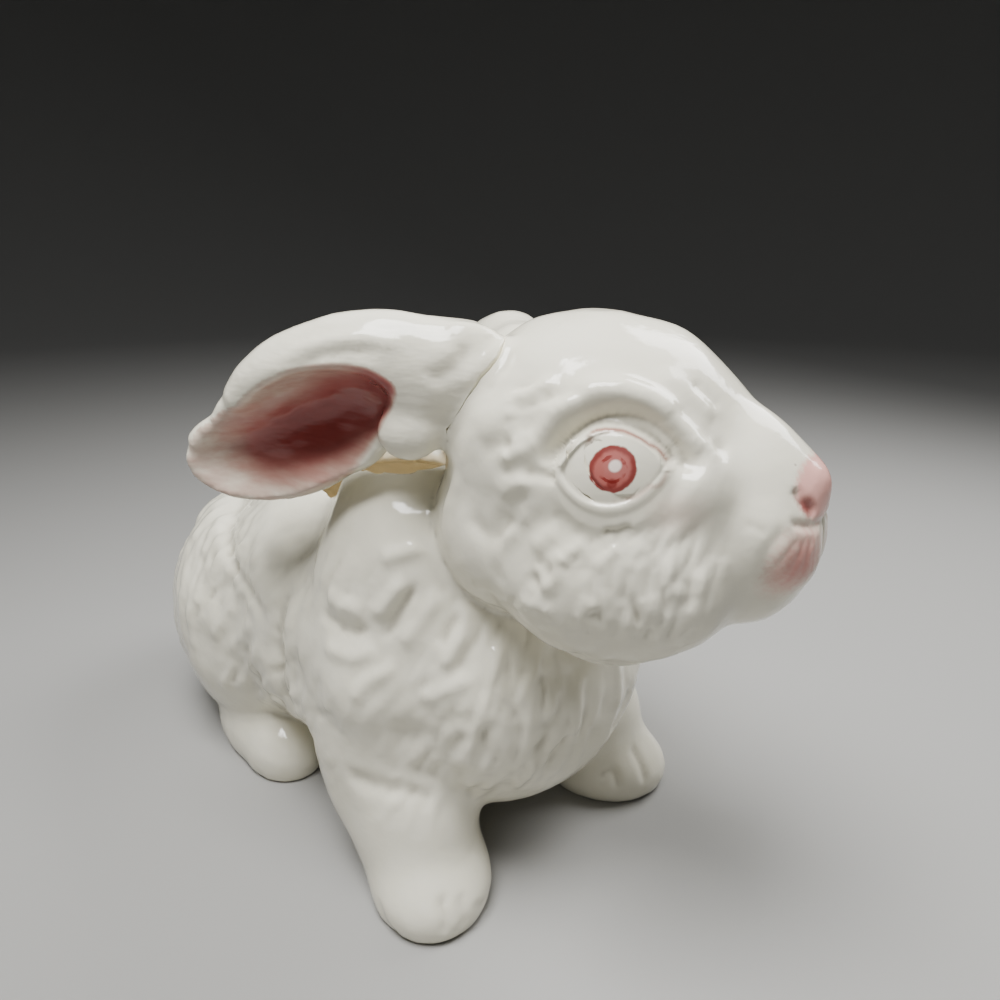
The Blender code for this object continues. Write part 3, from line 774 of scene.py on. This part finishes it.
def cleaned(piece):
    """The piece without the crumbs that a cut leaves."""
    shape = bmesh.new()
    shape.from_mesh(piece.data)
    groups = []
    for start in shape.verts:
        if start.tag:
            continue
        start.tag = True
        group = [start]
        for corner in group:
            for edge in corner.link_edges:
                far_end = edge.other_vert(corner)
                if not far_end.tag:
                    far_end.tag = True
                    group.append(far_end)
        groups.append(group)
    groups.sort(key=len)
    crumbs = [corner for group in groups[:-1] for corner in group]
    bmesh.ops.delete(shape, geom=crumbs, context="VERTS")
    shape.to_mesh(piece.data)
    shape.free()


def smoothed(piece):
    """Shade the piece smooth, with the whole skin's facings along its cuts."""
    mesh = piece.data
    mesh.shade_smooth()
    mesh.set_sharp_from_angle(angle=math.radians(80))
    corner = listed(mesh.loops, "vertex_index", int)
    stuff = listed(mesh.polygons, "material_index", int)
    cut_face = np.repeat(stuff, listed(mesh.polygons, "loop_total", int)) == 1
    on_cut = np.zeros(len(mesh.vertices), dtype=bool)
    on_cut[corner[cut_face]] = True
    facing = listed(mesh.corner_normals, "vector", width=3)
    rows = corners(piece)
    for loop in np.flatnonzero(on_cut[corner] & ~cut_face):
        near = skin_tree.find_n(rows[corner[loop]], 3)
        pull = np.array([1 / (hit[2] + 1e-6) for hit in near])
        facing[loop] = (skin_facing[[hit[1] for hit in near]] * pull[:, None]).sum(axis=0)
    facing /= np.linalg.norm(facing, axis=1)[:, None] + 1e-12
    mesh.normals_split_custom_set(facing)


clay = bpy.data.materials.new("white clay")
bare = bpy.data.materials.new("bare clay of a joint")
skin.data.materials.append(clay)
skin.data.materials.append(bare)
skin_facing = facings(skin)
skin_tree = index(corners(skin))
pieces = {casting: parted(number, casting) for number, casting in enumerate(CASTINGS[:-1])}
skin.name = "planter_body_clay"
pieces["planter_body"] = skin
for piece in pieces.values():
    cleaned(piece)
    smoothed(piece)


# The glaze. A clear earthenware glaze over white clay, fired once more: it is glossy, ivory and a little
# uneven, it is greyed with painted shade in the carving's hollows, and a few small iron specks show through
# it. A pattern's scale is its bumps to a metre.
def linear(code):
    """The hex colour as linear light."""
    parts = [int(code[start:start + 2], 16) / 255 for start in (1, 3, 5)]
    return (*[c / 12.92 if c <= 0.04045 else ((c + 0.055) / 1.055) ** 2.4 for c in parts], 1.0)


def add(tree, kind, inputs=None, **settings):
    """A node of this kind, with each input set to a value or joined to a socket."""
    made = tree.nodes.new(kind)
    for name, value in settings.items():
        setattr(made, name, value)
    for name, value in (inputs or {}).items():
        if isinstance(value, bpy.types.NodeSocket):
            tree.links.new(value, made.inputs[name])
        else:
            made.inputs[name].default_value = value
    return made


def mixed(tree, share, one, other):
    """A colour between the two by the share."""
    return add(tree, "ShaderNodeMix", {0: share, 6: one, 7: other}, data_type="RGBA").outputs[2]


def maths(tree, operation, one, other=0.0, third=0.0):
    """The value of one sum."""
    return add(tree, "ShaderNodeMath", {0: one, 1: other, 2: third}, operation=operation).outputs[0]


def times(tree, first, *others):
    """The values multiplied together."""
    for other in others:
        first = maths(tree, "MULTIPLY", first, other)
    return first


def ramp(tree, value, low, high):
    """0 up to low and 1 from high, smoothly. With low above high it falls."""
    inputs = {"Value": value, "From Min": low, "From Max": high}
    return add(tree, "ShaderNodeMapRange", inputs, interpolation_type="SMOOTHSTEP").outputs[0]


def noise(tree, place, scale, detail=2.0):
    """Soft noise with this many bumps to a metre."""
    return add(tree, "ShaderNodeTexNoise", {"Vector": place, "Scale": scale, "Detail": detail}).outputs[0]


def earthenware_glaze(name):
    """The ivory glaze as a material: its tree, its colour so far and its place in metres."""
    made = bpy.data.materials.new(name)
    made.use_nodes = True
    tree = made.node_tree
    shader = tree.nodes["Principled BSDF"]
    shader.inputs["Roughness"].default_value = 0.12
    shader.inputs["IOR"].default_value = 1.5
    place = add(tree, "ShaderNodeTexCoord").outputs["Object"]
    colour = mixed(tree, noise(tree, place, 55.0, 3.0), linear("#e4dfca"), linear("#efebda"))
    # Painted shade: the colour is greyed in the carving's hollows, where shade falls.
    painted_shade = add(tree, "ShaderNodeAttribute", attribute_name="painted_shade").outputs["Fac"]
    colour = mixed(tree, times(tree, painted_shade, 0.8), colour, linear("#aba593"))
    specks = add(tree, "ShaderNodeTexVoronoi", {"Vector": place, "Scale": 95.0}, feature="F1")
    chance = add(tree, "ShaderNodeSeparateColor", {0: specks.outputs["Color"]}).outputs[0]
    rare = ramp(tree, chance, 0.90, 0.91)
    dot = times(tree, ramp(tree, specks.outputs["Distance"], 0.045, 0.02), rare, 0.5)
    colour = mixed(tree, dot, colour, linear("#8a7a62"))
    waves = maths(tree, "MULTIPLY_ADD", noise(tree, place, 110.0), 3.0, noise(tree, place, 420.0, 1.0))
    bump = add(tree, "ShaderNodeBump", {"Height": waves, "Strength": 0.5, "Distance": 0.12 * MM})
    tree.links.new(bump.outputs[0], shader.inputs["Normal"])
    return made, tree, colour, place


def coloured(tree, colour):
    """Give the shader this colour."""
    tree.links.new(colour, tree.nodes["Principled BSDF"].inputs["Base Color"])


# The pot and the limbs: the plain clear glaze. The inside is a creamier pour, and the glaze is wiped off the
# ring that they stand on before the firing, so that it doesn't stick to the kiln's shelf.
white_glaze, tree, colour, place = earthenware_glaze("clear glaze over white earthenware")
inside = add(tree, "ShaderNodeAttribute", attribute_name="inside").outputs["Fac"]
colour = mixed(tree, inside, colour, linear("#efe3c6"))
low = add(tree, "ShaderNodeSeparateXYZ", {0: place}).outputs["Z"]
wiped = ramp(tree, maths(tree, "MULTIPLY_ADD", noise(tree, place, 160.0), 0.0012, low), 0.0011, 0.0007)
colour = mixed(tree, wiped, colour, linear("#d8cdb9"))
dull = maths(tree, "MULTIPLY_ADD", wiped, 0.6, 0.12)
tree.links.new(dull, tree.nodes["Principled BSDF"].inputs["Roughness"])
coloured(tree, colour)

# The ears. Rose underglaze is sprayed into the cup before the clear glaze: deepest in its fold, and fading to
# the rim, the tip and the lobe. The brush's streaks run from the root to the tip.
ear_glaze, tree, colour, place = earthenware_glaze("rose underglaze in the ear's cup")
rose = add(tree, "ShaderNodeAttribute", attribute_name="rose").outputs["Fac"]
streaks = add(tree, "ShaderNodeMapping", {0: place, 2: (0, 0.1, 0.8), 3: (160.0, 60.0, 330.0)}).outputs[0]
uneven = maths(tree, "MULTIPLY_ADD", noise(tree, streaks, 1.0, 3.0), 0.36, -0.18)
depth = times(tree, maths(tree, "ADD", rose, uneven), ramp(tree, rose, 0.02, 0.2))
for thin_from, thick_from, code in ((0.02, 0.42, "#c09a8c"), (0.30, 0.70, "#a9605a"), (0.62, 1.0, "#934440")):
    colour = mixed(tree, ramp(tree, depth, thin_from, thick_from), colour, linear(code))
coloured(tree, colour)
shader = tree.nodes["Principled BSDF"]
combed_glaze = {"Height": noise(tree, streaks, 1.0, 2.0), "Strength": 0.6, "Distance": 0.5 * MM}
combed_glaze["Normal"] = shader.inputs["Normal"].links[0].from_socket
tree.links.new(add(tree, "ShaderNodeBump", combed_glaze).outputs[0], shader.inputs["Normal"])

# The head's paint, brushed and sprayed on under the clear glaze: rose irises with a darker rim, a pink nose
# and lips, a brown line at the lids and a breath of pink in front of the eyes. The places are in the head's
# frame, in millimetres.
head_glaze, tree, colour, place = earthenware_glaze("painted underglaze on the head")
turned_back = (TURN.T @ HEAD_MIDDLE) * -1
to_head = {0: place, 1: tuple(turned_back), 2: (0, 0, -HEAD_TURN), 3: (1000.0, 1000.0, 1000.0)}
local = add(tree, "ShaderNodeMapping", to_head).outputs[0]
split = add(tree, "ShaderNodeSeparateXYZ", {0: local})
across = maths(tree, "ABSOLUTE", split.outputs["X"])
long, high = split.outputs["Y"], split.outputs["Z"]
both = add(tree, "ShaderNodeCombineXYZ", {0: across, 1: long, 2: high}).outputs[0]
brush = noise(tree, place, 900.0, 2.0)


def vector(operation, one, other=(0, 0, 0)):
    """The result of one vector sum."""
    made = add(tree, "ShaderNodeVectorMath", {0: one, 1: other}, operation=operation)
    return made.outputs[1 if operation == "LENGTH" else 0]


def spray(middle, radii, soft):
    """A sprayed patch on both sides: 1 in its middle, with a soft edge."""
    reach = vector("LENGTH", vector("DIVIDE", vector("SUBTRACT", both, middle), radii))
    reach = maths(tree, "MULTIPLY_ADD", brush, 0.3, maths(tree, "SUBTRACT", reach, 0.15))
    return ramp(tree, reach, 1.0, 1.0 - soft)


lips = spray((10, -45, -6), (12, 9.5, 11), 0.85)
wave = {"Vector": local, "Scale": 0.16, "Distortion": 2.0, "Detail": 1.0}
lines = add(tree, "ShaderNodeTexWave", wave, bands_direction="X").outputs["Fac"]
on_side = ramp(tree, across, 16.0, 18.0)
flat = vector("MULTIPLY", vector("SUBTRACT", both, (25, -9.9, 14.0)), (0, 1, 1))
wobble = maths(tree, "MULTIPLY_ADD", noise(tree, place, 500.0), 0.9, -0.45)
ring = maths(tree, "ADD", vector("LENGTH", flat), wobble)
iris = times(tree, ramp(tree, ring, 4.9, 4.4), on_side)
swirl = maths(tree, "COMPARE", ring, 2.5, 0.35)
dabs = ramp(tree, noise(tree, place, 380.0), 0.45, 0.6)
pupil = vector("LENGTH", vector("SUBTRACT", flat, (0, -0.5, 0.7)))
drip = vector("LENGTH", vector("SUBTRACT", flat, (0, -0.3, -2.9)))
lined = add(tree, "ShaderNodeAttribute", attribute_name="lid_line").outputs["Fac"]
coats = [
    (times(tree, spray((25, -22, 5), (9, 10, 7), 0.9), 0.22), "#d9a79b"),  # the blush before the eyes
    (times(tree, spray((12, -42, -10), (9, 7, 9), 0.8), 0.5), "#d3a294"),  # the chin
    (times(tree, lips, 0.85), "#d48d85"),
    (times(tree, lips, lines, 0.25), "#bd655f"),  # the brush's lines on the lips
    (times(tree, spray((2, -48, 8), (12, 8.5, 8.5), 0.30), 0.92), "#dfa59b"),  # the nose
    (times(tree, spray((8.3, -46, 5), (3.2, 4.0, 3.4), 0.8), 0.9), "#93504b"),  # the nostrils
    (iris, "#ab625b"),
    (times(tree, ramp(tree, ring, 3.2, 4.1), iris, 0.9), "#7d3733"),  # the iris's rim
    (times(tree, swirl, dabs, iris, 0.8), "#7c2420"),  # a broken ring in the iris
    (times(tree, ramp(tree, pupil, 1.5, 0.9), iris), "#ecdcd2"),  # the pale pupil
    (times(tree, ramp(tree, drip, 1.3, 0.7), iris, 0.7), "#74211e"),  # a dab below it
    (times(tree, lined, 0.9), "#8f5a4e"),  # the line at the lids
]
for share, code in coats:
    colour = mixed(tree, share, colour, linear(code))
coloured(tree, colour)


def note(piece, name, values):
    """Keep one value for each corner, for the material to read."""
    kept = piece.data.attributes.new(name, "FLOAT", "POINT")
    kept.data.foreach_set("value", np.asarray(values, dtype=np.float32))


def painted_shade_in_hollows(piece):
    """Painted shade: 1 in the deep of the carving, where shade falls, from how the skin bends."""
    one, other = edge_ends(piece)
    rows, facing = corners(piece), facings(piece)
    count = len(rows)
    near = np.maximum(np.bincount(one, minlength=count) + np.bincount(other, minlength=count), 1)
    step = rows[other] - rows[one]
    length = np.linalg.norm(step, axis=1) + 1e-9
    bend = np.bincount(one, (facing[one] * step).sum(axis=1) / length, count)
    bend -= np.bincount(other, (facing[other] * step).sum(axis=1) / length, count)
    bend /= near
    for _ in range(4):
        round_it = np.bincount(one, bend[other], count) + np.bincount(other, bend[one], count)
        bend = (bend + round_it / near) / 2
    return fade(bend, 0.0, 0.13)


# The cup is two round hollows, as in the solid: a middle, radii and a turn. The fold's points lie along the
# ear and up across it.
CUP_HOLLOWS = [((41.9, -1.25, 15), (31.0, 16, 19.5), -0.12), ((62.1, -4, 15), (25.6, 15.5, 17.7), 0.10)]
ROSE_FOLD = [(62, -3), (52, -3), (42, -2.5), (32, 0), (24, 0), (15, 2)]


def rose_spray(piece, casting):
    """How thick the rose lies: only in the cup, and thickest along its fold."""
    root, ways = ear_frame(casting)
    spots = (in_head(corners(piece)) - root) @ ways.T
    facing_out = facings(piece) @ TURN @ ways[2]
    hollow = np.full(len(spots), 9.0)
    for middle, (long, wide, deep), yaw in CUP_HOLLOWS:
        off = spots - np.array(middle)
        x = off[:, 0] * math.cos(yaw) + off[:, 1] * math.sin(yaw)
        y = off[:, 1] * math.cos(yaw) - off[:, 0] * math.sin(yaw)
        hollow = np.minimum(hollow, np.sqrt((x / long) ** 2 + (y / wide) ** 2 + (off[:, 2] / deep) ** 2))
    low_edge = fade(-spots[:, 1], 0, 6) * fade(spots[:, 0], 22, 34)
    cup = fade(spots[:, 0] + 1.2 * spots[:, 1], 11, 19)
    cup = cup * (1 - fade(hollow, 1.03, 1.09 + 0.35 * low_edge)) * fade(facing_out, 0.0, 0.35)
    fold = curve_through([(a, b, 0) for a, b in ROSE_FOLD])[:, :2]
    gap = np.min(np.linalg.norm(spots[:, None, :2] - fold[None], axis=2), axis=1)
    to_the_tip = 0.55 + 0.45 * (1 - fade(spots[:, 0], 48, 68))
    return cup * (0.22 + 0.90 * np.exp(-(gap / 8.5) ** 2) * to_the_tip)


LID_LINES = [
    (0.85, 1.0, [(-30, 0.2, 12.4), (-29, -2, 17.4), (-28, -6.4, 20.4), (-27, -10.4, 21.2), (-26, -14.4, 19.8),
                 (-24, -17.5, 16.6), (-23, -19, 14.4)]),
    (0.60, 0.55, [(-30, 0.2, 12.0), (-30, -2.6, 8.6), (-30, -6.8, 6.8), (-30, -10.6, 6.5), (-29, -14.6, 7.6),
                  (-26, -17.6, 10.6), (-24, -19, 13.6)]),
]
for casting, piece in pieces.items():
    glaze = {"head": head_glaze, "left_ear": ear_glaze, "right_ear": ear_glaze}.get(casting, white_glaze)
    piece.data.materials.clear()
    piece.data.materials.append(glaze)
    piece.data.polygons.foreach_set("material_index", [0] * len(piece.data.polygons))
    # Painted shade in the carving's hollows, kept on each corner for the glaze to grey them.
    note(piece, "painted_shade", painted_shade_in_hollows(piece))
    if casting == "planter_body":
        note(piece, "inside", 1 - fade(out_of_the_pot(corners(piece) / MM, facings(piece)), -1.0, 3.0))
    if casting == "head":
        places = in_head(corners(piece))
        note(piece, "lid_line", np.clip(carve(places, index(places), twin(LID_LINES), 0.12), 0, 1))
    if casting in EAR_FRAMES:
        note(piece, "rose", rose_spray(piece, casting))
    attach(piece, "root")
    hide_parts(casting)
for material in (clay, bare):
    bpy.data.materials.remove(material)


# The table and the backdrop: one sheet of wide matt paper, flat where the rabbit stands and curved up all
# round like a dish. It only carries the picture and isn't part of the planter.
FLAT_RADIUS, CURVE_RADIUS, CURVE_STEPS = 1.4, 1.3, 14
dish = bmesh.new()
bmesh.ops.create_circle(dish, cap_ends=True, segments=96, radius=FLAT_RADIUS)
rim = [edge for edge in dish.edges if edge.is_boundary]
for step in range(1, CURVE_STEPS + 1):
    turn = math.radians(90 * step / CURVE_STEPS)
    ring = bmesh.ops.extrude_edge_only(dish, edges=rim)["geom"]
    for corner in [part for part in ring if isinstance(part, bmesh.types.BMVert)]:
        ray = corner.co.xy.normalized() * (FLAT_RADIUS + CURVE_RADIUS * math.sin(turn))
        corner.co = (ray.x, ray.y, CURVE_RADIUS - CURVE_RADIUS * math.cos(turn))
    rim = [part for part in ring if isinstance(part, bmesh.types.BMEdge) and part.is_boundary]
bmesh.ops.recalc_face_normals(dish, faces=dish.faces)
dish.faces.ensure_lookup_table()
if dish.faces[0].normal.z < 0:
    bmesh.ops.reverse_faces(dish, faces=dish.faces)
floor = stood("floor", dish)
floor.data.shade_smooth()
paper = bpy.data.materials.new("matt grey paper")
paper.use_nodes = True
paper.node_tree.nodes["Principled BSDF"].inputs["Base Color"].default_value = linear("#9f9e9b")
paper.node_tree.nodes["Principled BSDF"].inputs["Roughness"].default_value = 0.9
floor.data.materials.append(paper)


# The light. A soft box hangs overhead, a little towards the camera. A second one lights the far paw from the
# rabbit's left, and a weak one fills the shadows. The room itself is nearly dark.
def soft_box(name, spot, target, size, watts):
    """A square area light at the spot, turned to the target."""
    lamp = bpy.data.lights.new(name, "AREA")
    lamp.energy = watts
    lamp.size = size
    made = bpy.data.objects.new(name, lamp)
    made.location = spot
    made.rotation_euler = (Vector(spot) - Vector(target)).to_track_quat("Z", "Y").to_euler()
    bpy.context.scene.collection.objects.link(made)


soft_box("overhead", (-0.17, -0.08, 0.62), (0, 0, 0.10), 0.30, 7.2)
soft_box("side", (0.42, -0.12, 0.50), (0, 0, 0.08), 0.35, 4.0)
soft_box("fill", (-0.8, -0.7, 0.45), (0, 0, 0.08), 0.5, 0.6)
world = bpy.data.worlds.new("studio")
world.use_nodes = True
world.node_tree.nodes["Background"].inputs["Color"].default_value = (0.92, 0.96, 1.0, 1.0)
world.node_tree.nodes["Background"].inputs["Strength"].default_value = 0.03
bpy.context.scene.world = world

# The camera. It stands at the photograph's place, at the rabbit's right front, and looks 19 degrees down. Its
# lens has the photograph's angle.
lens = bpy.data.cameras.new("camera")
lens.sensor_width = 36.0
lens.lens = 27.36
lens.clip_start = 0.01
camera = bpy.data.objects.new("camera", lens)
camera.location = (-0.1399, -0.2009, 0.1877)
camera.rotation_euler = (math.radians(71), 0.0, math.radians(-42))
bpy.context.scene.collection.objects.link(camera)
bpy.context.scene.camera = camera
